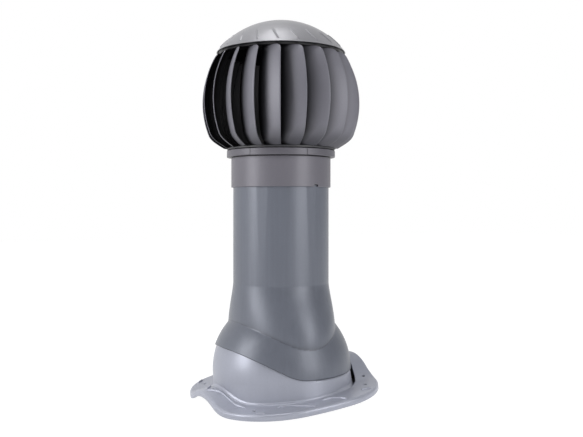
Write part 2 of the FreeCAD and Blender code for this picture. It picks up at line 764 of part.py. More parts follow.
cap_blank = fuse("CapBlank", cap_shell, cap_inner, feature("CapRibs", cap_ribs()))
cap_circle = size("capScrewCircle")
cap_recess = size("capScrewHead + collarGap")
cap_seat = size("capCentre - capScrewSink")
cap_seat += math.sqrt(size("capRadius") ** 2 - (cap_circle + cap_recess) ** 2)
seat_cut = Part.makeCylinder(cap_recess, FAR, Vector(cap_circle, 0, cap_seat))
pilot_foot = Vector(cap_circle, 0, cap_seat - size("capScrewLength"))
pilot = Part.makeCylinder(size("capScrewShank + fitGap"), size("capScrewLength"), pilot_foot)
boss_pilot = Part.makeCylinder(
    size("screwShank + fitGap"), size("screwLength - housingFlangeHeight"),
    Vector(size("housingScrewCircle"), 0, size("bossFoot")),
)
cap_screw_count = int(size("capScrewCount"))
cap_holes = ring_of(seat_cut.fuse(pilot), cap_screw_count, size("capScrewTurn"))
cap_holes += ring_of(boss_pilot, screw_count)
keep("rotor_cap", cut("RotorCap", cap_blank, feature("CapHoles", Part.makeCompound(cap_holes))))
cap_screw = screw(
    size("capScrewHead"), size("capScrewHeadHeight"), size("capScrewShank"), size("capScrewLength"),
    cap_seat, cap_circle, 1,
)
cap_screws = ring_of(cap_screw, cap_screw_count, size("capScrewTurn"))
keep("cap_screws", feature("CapScrews", Part.makeCompound(cap_screws)))

# Blades and the ring that their feet stand on
keep("blade_ring", sleeve("BladeRing", "ringInner", "ringOuter", "ringFoot", "ringHeight"))
vane = blade()
vanes = ring_of(vane, int(size("bladeCount")), size("bladeTurn"))
for index, shape in enumerate(vanes, start=1):
    keep(f"blade_{index:02d}", feature(f"Blade{index:02d}", shape))

doc.recompute()
for thing in doc.Objects:
    if "Invalid" in thing.State or "Error" in thing.State:
        raise RuntimeError(f"{thing.Name} failed: {thing.State}")
os.makedirs("parts", exist_ok=True)
for name, made in subparts.items():
    shape = made.Shape
    if shape.isNull() or not shape.isValid() or not shape.Solids:
        raise RuntimeError(f"{name} has no sound solid")
    shape.exportStep(f"parts/{name}.step")
    print(f"{name}: {len(shape.Solids)} solids, {shape.Volume / 1000:.1f} cm3")
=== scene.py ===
import math
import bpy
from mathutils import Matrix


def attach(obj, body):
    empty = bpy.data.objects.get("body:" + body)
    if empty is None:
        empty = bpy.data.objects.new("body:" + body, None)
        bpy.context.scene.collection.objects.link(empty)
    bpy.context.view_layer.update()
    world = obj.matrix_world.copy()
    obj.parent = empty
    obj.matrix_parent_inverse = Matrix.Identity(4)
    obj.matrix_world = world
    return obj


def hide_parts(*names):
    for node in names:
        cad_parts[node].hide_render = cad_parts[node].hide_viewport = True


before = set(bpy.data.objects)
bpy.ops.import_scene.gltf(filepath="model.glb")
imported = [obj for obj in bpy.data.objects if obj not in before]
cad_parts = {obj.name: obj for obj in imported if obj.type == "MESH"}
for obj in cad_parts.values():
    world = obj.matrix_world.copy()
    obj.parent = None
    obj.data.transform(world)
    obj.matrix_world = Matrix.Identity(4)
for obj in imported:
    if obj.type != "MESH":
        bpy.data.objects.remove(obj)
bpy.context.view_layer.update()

from types import SimpleNamespace

import bmesh
import bpy
import numpy as np

mm = 0.001
weld = dict(merge=1e-6, sliver=1e-7)     # metres: gap between points made one, length of an edge let go
scene = bpy.context.scene
scene.view_settings.view_transform = "Standard"


# camera: worked out from the photo's horizon, pipe edges and hood circle
view = dict(width=583, height=437, focalPixels=770.0, distance=1.294, eyeHeight=0.312, turn=-27.5,
            axisColumn=280.9, horizonRow=206.0, sensor=36.0, farClip=30.0)

camData = bpy.data.cameras.new("photoCamera")
camData.sensor_width = view["sensor"]
camData.lens = view["focalPixels"] / view["width"] * view["sensor"]
camData.shift_x = (view["width"] / 2 - view["axisColumn"]) / view["width"]
camData.shift_y = (view["horizonRow"] - view["height"] / 2) / view["width"]
camData.clip_end = view["farClip"]
camera = bpy.data.objects.new("photoCamera", camData)
scene.collection.objects.link(camera)
turn = math.radians(view["turn"])
camera.location = (view["distance"] * math.sin(turn), -view["distance"] * math.cos(turn), view["eyeHeight"])
camera.rotation_euler = (math.pi / 2, 0.0, turn)
scene.camera = camera
print("camera placed")


# meshes from grids: rows run along a profile, columns run round, all in millimetres
def gridFaces(rows, columns, closeRows):
    # each cell's corners: this column and the next, in this row and the next; the columns close round
    index = np.arange(rows * columns).reshape(rows, columns)
    if closeRows:
        index = np.vstack([index, index[:1]])
    here, up = index[:-1], index[1:]
    quads = np.stack([here, np.roll(here, -1, 1), np.roll(up, -1, 1), up], axis=-1)
    return quads.reshape(-1, 4)


def signedVolume(points, quads):
    # sum of tetrahedra to the origin, two for each four-sided face
    a, b, c, d = (points[quads[:, i]] for i in range(4))
    return np.einsum("ij,ij->i", a, np.cross(b, c)).sum() + np.einsum("ij,ij->i", a, np.cross(c, d)).sum()


def makePiece(name, grids, body, finish, replaced, across=None):
    # one closed shell for each grid (points, closeRows), turned so that its faces point outwards;
    # across is a map on the mesh that the finish reads as painted shade: how deep inside, and how far up
    allPoints, allQuads, start = [], [], 0
    for points, closeRows in grids:
        rows, columns = points.shape[:2]
        flat = points.reshape(-1, 3) * mm
        quads = gridFaces(rows, columns, closeRows)
        if signedVolume(flat, quads) < 0:
            quads = quads[:, ::-1]
        allPoints.append(flat)
        allQuads.append(quads + start)
        start += len(flat)
    points = np.vstack(allPoints)
    quads = np.vstack(allQuads)
    mesh = bpy.data.meshes.new(name)
    mesh.vertices.add(len(points))
    mesh.vertices.foreach_set("co", points.astype(np.float32).ravel())
    mesh.loops.add(quads.size)
    mesh.loops.foreach_set("vertex_index", quads.astype(np.int32).ravel())
    mesh.polygons.add(len(quads))
    mesh.polygons.foreach_set("loop_start", np.arange(0, quads.size, 4, dtype=np.int32))
    if across is not None:
        uvLayer = mesh.uv_layers.new(name="across")
        uvLayer.data.foreach_set("uv", across.reshape(-1, 2)[quads.ravel()].astype(np.float32).ravel())
    mesh.update(calc_edges=True)
    mesh.validate()
    bm = bmesh.new()
    bm.from_mesh(mesh)
    bmesh.ops.remove_doubles(bm, verts=bm.verts, dist=weld["merge"])
    bmesh.ops.dissolve_degenerate(bm, edges=bm.edges, dist=weld["sliver"])
    bm.to_mesh(mesh)
    bm.free()
    mesh.polygons.foreach_set("use_smooth", np.ones(len(mesh.polygons), dtype=bool))
    mesh.materials.append(materials[finish])
    piece = bpy.data.objects.new(name, mesh)
    scene.collection.objects.link(piece)
    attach(piece, body)
    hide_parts(*replaced)
    print("made", name, len(mesh.polygons), "faces")


def roundedPath(corners, support=0.5, steps=4, roundShare=0.42, supportShare=0.06):
    # closed outline of (radius, height, rounding): each corner is a small quadratic curve, with a support
    # point each side of it so that the flats stay flat; both take no more than their share of a side
    points = np.array(corners, dtype=float)[:, :2]
    out = []
    for i, corner in enumerate(corners):
        here, before, after = points[i], points[i - 1], points[(i + 1) % len(points)]
        toBefore, toAfter = before - here, after - here
        lengthB, lengthA = np.linalg.norm(toBefore), np.linalg.norm(toAfter)
        reach = min(corner[2], roundShare * lengthB, roundShare * lengthA)
        extra = min(support, supportShare * lengthB, supportShare * lengthA)
        first = here + toBefore / lengthB * reach
        last = here + toAfter / lengthA * reach
        out.append(here + toBefore / lengthB * (reach + extra))
        for t in np.linspace(0, 1, steps + 1):
            out.append((1 - t) ** 2 * first + 2 * t * (1 - t) * here + t * t * last)
        out.append(here + toAfter / lengthA * (reach + extra))
    return np.array(out)


def turnedGrid(path, angles):
    # profile of (radius, height) carried round the pipe's axis
    radius, height = path[:, :1], path[:, 1:2]
    heights = np.repeat(height, angles.shape[1], 1)
    return np.dstack([radius * np.cos(angles), radius * np.sin(angles), heights])


def startRows(angles, plainShade=0.0):
    # a list of rows, and the function that adds one round the pipe's axis: x, y, z and shade at each angle
    rows = []

    def level(radius, height, shade=plainShade):
        radius, height, shade = (np.broadcast_to(value, angles.shape) for value in (radius, height, shade))
        rows.append(np.dstack([radius * np.cos(angles), radius * np.sin(angles), height, shade]))

    return rows, level


def shadeMap(shade):
    # the map across for pieces that only have a painted shade
    return np.stack([shade, 0 * shade], axis=-1)


def bothWays(steps):
    # the same steps to both sides of 0, in order
    steps = np.array(steps, dtype=float)
    return np.concatenate([-steps[::-1], [0.0], steps])


def smoothMax(a, b, blend):
    # the larger of two surfaces, with a small fillet where they cross
    near = np.clip(blend - np.abs(a - b), 0, None) / blend
    return np.maximum(a, b) + near ** 2 * blend / 4


def largerOf(nodes, links, a, b):
    # math node that puts out the larger of two values
    node = nodes.new("ShaderNodeMath")
    node.operation = "MAXIMUM"
    links.new(a, node.inputs[0])
    links.new(b, node.inputs[1])
    return node.outputs[0]


# finishes: one moulded skin, placed in each material with its own values
skinForm = dict(cloudScale=14.0, cloudDetail=4.0, cloudRough=0.12, speckScale=420.0, speckDetail=3.0,
                speckShare=0.10, dragStretch=(160.0, 160.0, 5.0), dragDetail=2.0, grainDetail=2.0,
                grainReach=0.0006, soot=(0.010, 0.010, 0.012, 1.0))
skinInputs = {"Mottle": "mottle", "Rough": "rough", "Grain Size": "grainSize",
              "Grain Depth": "grainDepth", "Flow": "flow"}


def mouldedSkinGroup():
    # colour is the pigment times 1 + cloud + specks + drag lines, mixed by the shade input towards near black
    # as painted shade;
    # roughness is the finish's own plus a share of the cloud; the normal is a bump of fine grain
    f = SimpleNamespace(**skinForm)
    group = bpy.data.node_groups.new("mouldedSkin", "ShaderNodeTree")
    face = group.interface
    face.new_socket("Pigment", in_out="INPUT", socket_type="NodeSocketColor")
    for label in ("Painted Shade", *skinInputs):
        face.new_socket(label, in_out="INPUT", socket_type="NodeSocketFloat")
    for label, kind in (("Colour", "Color"), ("Roughness", "Float"), ("Normal", "Vector")):
        face.new_socket(label, in_out="OUTPUT", socket_type="NodeSocket" + kind)
    nodes, links = group.nodes, group.links
    inside, outside = nodes.new("NodeGroupInput"), nodes.new("NodeGroupOutput")
    objectPlace = nodes.new("ShaderNodeTexCoord").outputs["Object"]

    def feed(socket, value):
        # a plain number is set on the socket, anything else is linked to it
        if isinstance(value, (int, float)):
            socket.default_value = value
        else:
            links.new(value, socket)

    def noise(scale, detail, place=objectPlace):
        # fractal noise at a place
        node = nodes.new("ShaderNodeTexNoise")
        for label, value in (("Vector", place), ("Scale", scale), ("Detail", detail)):
            feed(node.inputs[label], value)
        return node.outputs["Fac"]

    def combine(kind, a, b):
        # one math node on two values
        node = nodes.new("ShaderNodeMath")
        node.operation = kind
        feed(node.inputs[0], a)
        feed(node.inputs[1], b)
        return node.outputs[0]

    def swing(value, amount):
        # noise about its middle value, times an amount
        return combine("MULTIPLY", combine("SUBTRACT", value, 0.5), amount)

    stretch = nodes.new("ShaderNodeMapping")
    stretch.inputs["Scale"].default_value = f.dragStretch
    links.new(objectPlace, stretch.inputs["Vector"])
    cloud = noise(f.cloudScale, f.cloudDetail)                     # slow change of shade over a moulding
    speck = noise(f.speckScale, f.speckDetail)                     # pigment flecks
    drag = noise(1.0, f.dragDetail, stretch.outputs["Vector"])     # faint drag lines down the mould
    grain = noise(inside.outputs["Grain Size"], f.grainDetail)     # skin texture of the mould

    cloudy = swing(cloud, inside.outputs["Mottle"])
    specky = swing(speck, f.speckShare)
    dragged = swing(drag, inside.outputs["Flow"])
    shade = combine("ADD", combine("ADD", combine("ADD", cloudy, specky), dragged), 1.0)
    tint = nodes.new("ShaderNodeMix")
    tint.data_type = "RGBA"
    tint.blend_type = "MULTIPLY"
    tint.inputs["Factor"].default_value = 1.0
    links.new(inside.outputs["Pigment"], tint.inputs["A"])
    links.new(shade, tint.inputs["B"])
    paintedShadeMix = nodes.new("ShaderNodeMix")             # painted shade: almost black where the form turns inwards
    paintedShadeMix.data_type = "RGBA"
    links.new(inside.outputs["Painted Shade"], paintedShadeMix.inputs["Factor"])
    links.new(tint.outputs["Result"], paintedShadeMix.inputs["A"])
    paintedShadeMix.inputs["B"].default_value = f.soot
    links.new(paintedShadeMix.outputs["Result"], outside.inputs["Colour"])
    rough = combine("ADD", inside.outputs["Rough"], swing(cloud, f.cloudRough))
    links.new(rough, outside.inputs["Roughness"])
    bump = nodes.new("ShaderNodeBump")
    bump.inputs["Distance"].default_value = f.grainReach
    links.new(inside.outputs["Grain Depth"], bump.inputs["Strength"])
    links.new(grain, bump.inputs["Height"])
    links.new(bump.outputs["Normal"], outside.inputs["Normal"])
    return group


skinGroup = mouldedSkinGroup()


def plasticFinish(name, finish):
    # the moulded skin into one shader; where a finish has deep or footShade, the map across darkens it with
    # painted shade
    material = bpy.data.materials.new(name)
    material.use_nodes = True
    nodes, links = material.node_tree.nodes, material.node_tree.links
    shader = nodes["Principled BSDF"]
    skin = nodes.new("ShaderNodeGroup")
    skin.node_tree = skinGroup
    skin.inputs["Pigment"].default_value = (*finish["colour"], 1.0)
    for label, key in skinInputs.items():
        skin.inputs[label].default_value = finish[key]

    def eased(value, fromRange, toRange):
        # smooth step from one range to another
        node = nodes.new("ShaderNodeMapRange")
        node.interpolation_type = "SMOOTHSTEP"
        for label, limit in zip(("From Min", "From Max", "To Min", "To Max"), (*fromRange, *toRange)):
            node.inputs[label].default_value = limit
        links.new(value, node.inputs["Value"])
        return node.outputs["Result"]

    if "deep" in finish:
        across = nodes.new("ShaderNodeUVMap")
        across.uv_map = "across"
        parts = nodes.new("ShaderNodeSeparateXYZ")
        links.new(across.outputs["UV"], parts.inputs["Vector"])
        deepest = eased(parts.outputs["X"], finish["deep"], (0.0, 1.0))
        if "footShade" in finish:
            # painted shade, darker towards the foot, which is at 0 of the map's second share
            reach, amount = finish["footShade"]
            foot = eased(parts.outputs["Y"], (0.0, reach), (amount, 0.0))
            deepest = largerOf(nodes, links, deepest, foot)
        links.new(deepest, skin.inputs["Painted Shade"])
    links.new(skin.outputs["Colour"], shader.inputs["Base Color"])
    links.new(skin.outputs["Roughness"], shader.inputs["Roughness"])
    links.new(skin.outputs["Normal"], shader.inputs["Normal"])
    shader.inputs["Metallic"].default_value = finish["metal"]
    return material


plainSkin = dict(mottle=0.10, grainSize=900.0, grainDepth=0.25, flow=0.05, metal=0.0)
finishes = {
    "basePlastic": dict(colour=(0.410, 0.427, 0.503), rough=0.36, metal=0.24, deep=(0.2, 0.8)),
    "pipePlastic": dict(colour=(0.152, 0.165, 0.202), rough=0.37, metal=0.16, flow=0.16, deep=(0.0, 1.0)),
    "collarPlastic": dict(colour=(0.166, 0.160, 0.187), rough=0.42, metal=0.15, deep=(0.0, 1.0)),
    "bladePlastic": dict(colour=(0.188, 0.186, 0.218), rough=0.46, metal=0.15, deep=(0.20, 0.95),
                         footShade=(0.22, 0.55)),
    # the ring is near black: painted shadow under the blades' feet
    "ringPaintedShadow": dict(colour=(0.045, 0.045, 0.050), rough=0.50),
    "capPlastic": dict(colour=(0.280, 0.279, 0.300), rough=0.37, metal=0.24, deep=(0.2, 0.8)),
    # near black: painted shade for the parts inside the rotor
    "innerPaintedShade": dict(colour=(0.030, 0.030, 0.034), rough=0.55),
    "platedSteel": dict(colour=(0.55, 0.56, 0.58), rough=0.34, metal=1.0),
    "bearingSteel": dict(colour=(0.62, 0.63, 0.64), rough=0.22, metal=1.0, grainDepth=0.05)}
materials = {name: plasticFinish(name, {**plainSkin, **finish}) for name, finish in finishes.items()}
print("finishes made")


# outlet pipe: tube, flare and ball hood in one moulding
pipeForm = dict(radius=80.0, bore=77.0, top=388.0, rim=0.8, rimRound=(0.3, 0.2), columns=360,
                ballHeight=42.0, hood=117.0, hoodWall=2.5, hoodTop=167.0,
                flareHeights=(184.04, 168.4, 146.6, 115.3, 80.02), flareX=(80.0, 81.5, 83.5, 84.8, 85.0),
                flareY=(80.0, 84.3, 94.0, 105.3, 107.99), flareEnd=200.0,
                crease=1.0, creaseShade=0.45, creaseFade=2.5,
                hemStart=-7.956, hemSlope=28.0, hemRun=51.95, hemLowArc=78.975, hemHighArc=64.0,
                hemEdge=0.6, hemShade=0.6, hemGuess=10.0, hemTries=40,
                flats=6, flatDepth=0.6, flatTop=343.0, flatLength=138.0, flatTurn=40.5,
                flareRows=150, tubeRows=26, hoodRows=50, tubeGap=4.0, support=2.0,
                boreLevels=(300.0, 200.0, 100.0), tubeLevels=(60.0, 120.0, 160.0))


def hemHeight(x):
    # level, hollow arc, straight run, crown arc, level: from up-roof to down-roof
    f = SimpleNamespace(**pipeForm)
    slope = math.radians(f.hemSlope)
    low, high, level = f.hemLowArc, f.hemHighArc, f.ballHeight
    bendX = f.hemStart - low * math.sin(slope)
    bendZ = level + low * (1 - math.cos(slope))
    runX, runZ = bendX - f.hemRun, bendZ + f.hemRun * math.tan(slope)
    crownX, crownZ = runX - high * math.sin(slope), runZ + high * (1 - math.cos(slope))
    lowArc = level + low - np.sqrt(np.clip(low ** 2 - (f.hemStart - x) ** 2, 0, None))
    run = bendZ + (bendX - x) * math.tan(slope)
    highArc = crownZ - high + np.sqrt(np.clip(high ** 2 - (x - crownX) ** 2, 0, None))
    where = [x > f.hemStart, x > bendX, x > runX, x > crownX]
    return np.select(where, [level, lowArc, run, highArc], crownZ)


def flareRadius(angles, heights, inset):
    # oval whose half-axes grow down the flare, each on the one smooth curve through its knots
    f = SimpleNamespace(**pipeForm)
    mid = np.mean(f.flareHeights)
    z = np.clip(heights, f.flareHeights[-1], f.flareHeights[0]) - mid
    knots = np.array(f.flareHeights) - mid
    degree = len(knots) - 1
    halfX = np.polyval(np.polyfit(knots, f.flareX, degree), z) - inset
    halfY = np.polyval(np.polyfit(knots, f.flareY, degree), z) - inset
    return 1 / np.sqrt((np.cos(angles) / halfX) ** 2 + (np.sin(angles) / halfY) ** 2)


def ballRadius(radius, heights):
    # how far a ball about the hood's middle reaches from the axis at each height
    return np.sqrt(np.clip(radius ** 2 - (heights - pipeForm["ballHeight"]) ** 2, 0, None))


def flatShave(angles, heights):
    # narrow flats that fade out down the tube
    f = SimpleNamespace(**pipeForm)
    pitch = 2 * math.pi / f.flats
    away = (angles - math.radians(f.flatTurn) + pitch / 2) % pitch - pitch / 2
    depth = f.flatDepth * np.clip((heights - f.flatTop + f.flatLength) / f.flatLength, 0, None)
    return np.minimum(f.radius, (f.radius - depth) / np.cos(away))


def makeOutletPipe():
    # rows of radius, height and painted shade: up the outside from the hem, over the rim, down the bore,
    # round the foot, up the tube under the hood, and down the hood's inside to the hem
    f = SimpleNamespace(**pipeForm)
    angles = np.linspace(0, 2 * math.pi, f.columns, endpoint=False)[None, :]
    # the hem's height and the ball's reach at that height settle on each other
    hem = np.full(angles.shape, f.ballHeight + f.hemGuess)
    for _ in range(f.hemTries):
        hem = hemHeight(ballRadius(f.hood, hem) * np.cos(angles))
    low = hem + f.hemEdge
    innerBall = f.hood - f.hoodWall
    roundIn, roundDown = f.rimRound
    rows, level = startRows(angles)
    # painted shadow: a thin dark line along the hem
    level(ballRadius(f.hood, hem) - f.hemEdge, hem, f.hemShade)
    for t in np.linspace(0, 1, f.flareRows):
        z = low + (f.flareEnd - low) * t
        tube = np.where(z > f.flareHeights[0], f.radius, flareRadius(angles, z, 0.0))
        ball = ballRadius(f.hood, z)
        past = tube - ball
        # painted shade: the flare darkens into its crease on the ball
        fade = np.exp(-np.clip(past, 0, None) / f.creaseFade)
        inCrease = np.where(past > 0, f.creaseShade * fade, 0.0)
        shade = np.maximum(inCrease, f.hemShade * (t == 0))
        level(np.minimum(smoothMax(tube, ball, f.crease), f.hood), z, shade)
    for z in np.linspace(f.flareEnd + f.tubeGap, f.top - f.rim, f.tubeRows):
        level(flatShave(angles, z), z)
    level(f.radius - roundIn, f.top - roundDown)
    level(f.radius - f.rim, f.top)
    level(f.bore + f.rim, f.top)
    level(f.bore + roundIn, f.top - roundDown)
    for z in (f.top - f.rim, f.top - f.support, *f.boreLevels, f.support, f.rim):
        level(f.bore, z)
    level(f.bore + f.rim, 0.0)
    level(f.radius - f.rim, 0.0)
    for z in (f.rim, f.support, *f.tubeLevels):
        level(f.radius, z)
    for t in np.linspace(0, 1, f.hoodRows):
        z = f.hoodTop + (low - f.hoodTop) * t
        inner = np.maximum(flareRadius(angles, z, f.hoodWall), ballRadius(innerBall, z))
        level(np.maximum(inner, f.radius), z)
    level(ballRadius(innerBall, hem) + f.hemEdge, hem)
    sheet = np.vstack(rows)
    makePiece("outletPipeSkin", [(sheet[..., :3], True)], "stand", "pipePlastic",
              ["outlet_pipe"], across=shadeMap(sheet[..., 3]))


makeOutletPipe()


# base plate: waved sheet with a rolled lip, and the dome under the hood
baseForm = dict(pitch=5.3, wall=3.0, columns=480, fillet=4.0,
                halfLength=144.0, halfWidth=155.0, endBulge=13.0, sideBulge=26.5, corner=115.0,
                nearest=60.0, farthest=260.0, halvings=45,
                waveHeight=29.5, crestDrop=6.0, waveGrowth=0.045, waveHalf=79.59,
                edge=4.0, rollStart=0.12, lipDepth=10.0, lipWall=3.5, lipInner=0.6, lipCorner=0.3,
                lipToe=((0.0, 0.8), (0.3, 0.2), (0.9, 0.0)),
                plateInner=112.5, trench=122.0, trenchStart=55.0, trenchSlope=6.0,
                trenchShade=0.8, trenchEdgeShade=0.6, shadeDepth=10.0,
                floorGap=0.5, floorEase=0.8, trenchFoot=0.6, trenchEdge=0.8, trenchRound=0.25,
                holes=((100, 100), (100, -100), (-100, 100), (-100, -100), (-122, 0), (122, 62), (122, -62)),
                holeRadius=2.6, holeDepth=2.6, holeEdge=0.3, holeTurn=2.0, holeStep=0.25,
                floorRows=22, topRows=46, rollRows=9, underRows=12, hiddenRows=6)
domeForm = dict(outer=114.2, wall=2.8, rise=66.0, foot=117.5, skirt=39.5, hemGap=0.6, hemBlend=8.0,
                footLift=0.1, edgeIn=0.6, edgeDown=0.8, shade=0.31, columns=240,
                skirtRows=9, stepRows=4, ballRows=40, insideRows=20)
# low ridges on the plate, each a path of (x, y) on one side of the crest, met again on the other side
ridgeForm = dict(half=1.9, height=2.2, sink=0.6, clear=2.5, steps=36, section=9, taperSteps=5.0, smoothing=6,
                 paths=(((-67.7, -111.5), (-55.4, -112.5), (-45.7, -118.7), (-30.6, -135.2), (-18.6, -149.0)),
                        ((2.7, -126.5), (19.8, -125.0), (31.7, -138.2), (38.0, -148.5)),
                        ((77.7, -121.7), (87.8, -120.8), (95.5, -123.6)),
                        ((-111.6, -122.3), (-101.7, -122.3), (-94.8, -125.1)),
                        ((-139.0, 3.0), (-128.0, -9.5), (-121.0, -20.2), (-116.4, -40.8), (-112.5, -61.1),
                         (-102.9, -79.4))))


def waveHeight(x, y, drop):
    # crest and hollow: two equal tangent arcs each side, then a level trough; the crest climbs with x,
    # and a face that lies deeper by drop has the same middles and other radii
    f = SimpleNamespace(**baseForm)
    half, trough = f.waveHalf, -f.waveHeight
    fall = f.waveHeight - f.crestDrop + f.waveGrowth * x
    radius = (half ** 2 + fall ** 2) / (4 * fall)
    bend = (radius - drop) * np.sin(2 * np.arctan2(fall, half))
    y = np.abs(y)
    crest = trough + fall - radius + np.sqrt(np.clip((radius - drop) ** 2 - y ** 2, 0, None))
    hollow = trough + radius - np.sqrt(np.clip((radius + drop) ** 2 - (half - y) ** 2, 0, None))
    return np.select([y < bend, y < half], [crest, hollow], trough - drop)


def outlineReach(angles):
    # distance along each ray to four bulged sides with round corners, found by halving
    f = SimpleNamespace(**baseForm)
    halfX, halfY, corner = f.halfLength, f.halfWidth, f.corner
    endR = (halfY ** 2 + f.endBulge ** 2) / (2 * f.endBulge)
    sideR = (halfX ** 2 + f.sideBulge ** 2) / (2 * f.sideBulge)
    a, b = endR - halfX, sideR - halfY
    apart = math.hypot(a, b)
    # the corner's middle is where both circles cross after they are drawn in by the corner's radius
    along = ((endR - corner) ** 2 - (sideR - corner) ** 2 + apart ** 2) / (2 * apart)
    away = math.sqrt((endR - corner) ** 2 - along ** 2)
    midX, midY = -a + (along * a + away * b) / apart, (-along * b + away * a) / apart
    low, high = np.full(angles.shape, f.nearest), np.full(angles.shape, f.farthest)
    for _ in range(f.halvings):
        mid = (low + high) / 2
        x, y = np.abs(mid * np.cos(angles)), np.abs(mid * np.sin(angles))
        sides = np.maximum(np.hypot(x + a, y) - endR, np.hypot(x, y + b) - sideR)
        pastEnd = (midX + a) * (y - midY) > midY * (x - midX)
        pastSide = midX * (y - midY) < (midY + b) * (x - midX)
        past = np.where(pastEnd & pastSide, np.hypot(x - midX, y - midY) - corner, sides)
        low, high = np.where(past < 0, mid, low), np.where(past < 0, high, mid)
    return (low + high) / 2


def pitched(grid):
    # level base turned about the ball's middle, so that +X rises with the roof
    tilt = math.radians(baseForm["pitch"])
    x, y, z = grid[..., 0], grid[..., 1], grid[..., 2]
    return np.stack([x * math.cos(tilt) - z * math.sin(tilt), y,
                     x * math.sin(tilt) + z * math.cos(tilt) + pipeForm["ballHeight"]], axis=-1)


def trenchFloor(x):
    # level with the trough where the trench starts, then falling away up the roof
    f = SimpleNamespace(**baseForm)
    return -f.waveHeight - (x - f.trenchStart) * math.tan(math.radians(f.trenchSlope))


def plateGrid():
    # rows from the dome's foot out: trench floor, trench wall, waved top, rolled edge and lip, then back
    # under the plate; each row is a ray's reach from the axis and the wave's height there
    f = SimpleNamespace(**baseForm)
    holeTurns = np.degrees([math.atan2(y, x) for x, y in f.holes])
    spread = np.arange(-f.holeTurn, f.holeTurn + f.holeStep / 2, f.holeStep)
    fineTurns = (holeTurns[:, None] + spread).ravel()
    turns = np.concatenate([np.arange(f.columns) * 360.0 / f.columns, fineTurns]) % 360
    angles = np.radians(np.unique(np.round(turns, 3)))[None, :]
    cosA, sinA = np.cos(angles), np.sin(angles)
    reach = outlineReach(angles)
    rows, level = startRows(angles)

    def topHeight(radius, drop=0.0):
        # the wave's height at that reach along each ray
        return waveHeight(radius * cosA, radius * sinA, drop)

    def domeReach(height):
        # the dome's skirt widens downwards
        share = np.clip(-height / domeForm["skirt"], 0, 1)
        return domeForm["outer"] + (domeForm["foot"] - domeForm["outer"]) * share

    def withFillet(radius, height):
        # soft foot where the plate turns up into the dome
        gap = np.clip(f.fillet - (radius - domeReach(height)), 0, f.fillet)
        return height + f.fillet - np.sqrt(np.clip(f.fillet ** 2 - gap ** 2, 0, None))

    def innerHeight(radius, drop=0.0):
        # the crest is cut back to a floor round the dome on the up-roof side
        uphill = radius * cosA > f.trenchStart
        return np.where(uphill, trenchFloor(radius * cosA) - drop, topHeight(radius, drop))

    def inHole(radius):
        # 1 inside a screw hole, 0 outside it
        x, y = radius * cosA, radius * sinA
        near = np.min([np.hypot(x - hx, y - hy) for hx, hy in f.holes], axis=0)
        return np.clip((f.holeRadius + f.holeEdge - near) / (2 * f.holeEdge), 0, 1)

    trench, first = f.trench, f.plateInner
    lowSide, highSide = innerHeight(trench), topHeight(trench)
    depth = highSide - lowSide
    # painted shade: the trench is dark where it is deep
    sunken = f.trenchShade * np.clip(depth / f.shadeDepth, 0, 1)
    for t in np.linspace(0, 1, f.floorRows) ** f.floorEase:
        radius = first + (trench - f.floorGap - first) * t
        level(radius, withFillet(radius, innerHeight(radius)), sunken)
    level(trench, lowSide + np.clip(depth, 0, f.trenchFoot), sunken)
    level(trench, lowSide + depth * 0.5, sunken)
    level(trench, highSide - np.clip(depth, 0, f.trenchEdge), sunken * f.trenchEdgeShade)
    level(trench + f.trenchRound, highSide - np.clip(depth, 0, f.trenchRound))
    inner = trench + f.trenchEdge
    for t in np.linspace(0, 1, f.topRows):
        radius = inner + (reach - f.edge - inner) * t
        hole = inHole(radius)
        # the screw holes sink a little and take painted shade, dark as through holes
        level(radius, withFillet(radius, topHeight(radius)) - f.holeDepth * hole, hole)
    rim = topHeight(reach)
    for step in np.linspace(f.rollStart, 1, f.rollRows) * math.pi / 2:      # rolled edge
        level(reach - f.edge * (1 - math.sin(step)), rim - f.edge * (1 - math.cos(step)))
    lipFoot = topHeight(reach, f.lipDepth)
    for inset, lift in f.lipToe:
        level(reach - inset, lipFoot + lift)
    under, corner = reach - f.lipWall, f.lipCorner
    level(under + f.lipInner, topHeight(under, f.lipDepth))
    level(under, topHeight(under, f.lipDepth) + f.lipInner)
    level(under, topHeight(under, f.wall) - corner)
    level(under - corner, topHeight(under - corner, f.wall))
    outer = trench + f.wall
    for t in np.linspace(0.1, 1, f.underRows):
        radius = under - corner + (outer - under + corner) * t
        level(radius, topHeight(radius, f.wall))
    level(outer, lowSide - f.wall)
    for t in np.linspace(0.2, 1, f.hiddenRows):
        radius = outer + (first - outer) * t
        level(radius, innerHeight(radius, f.wall))
    sheet = np.vstack(rows)
    return pitched(sheet[..., :3]), sheet[..., 3]


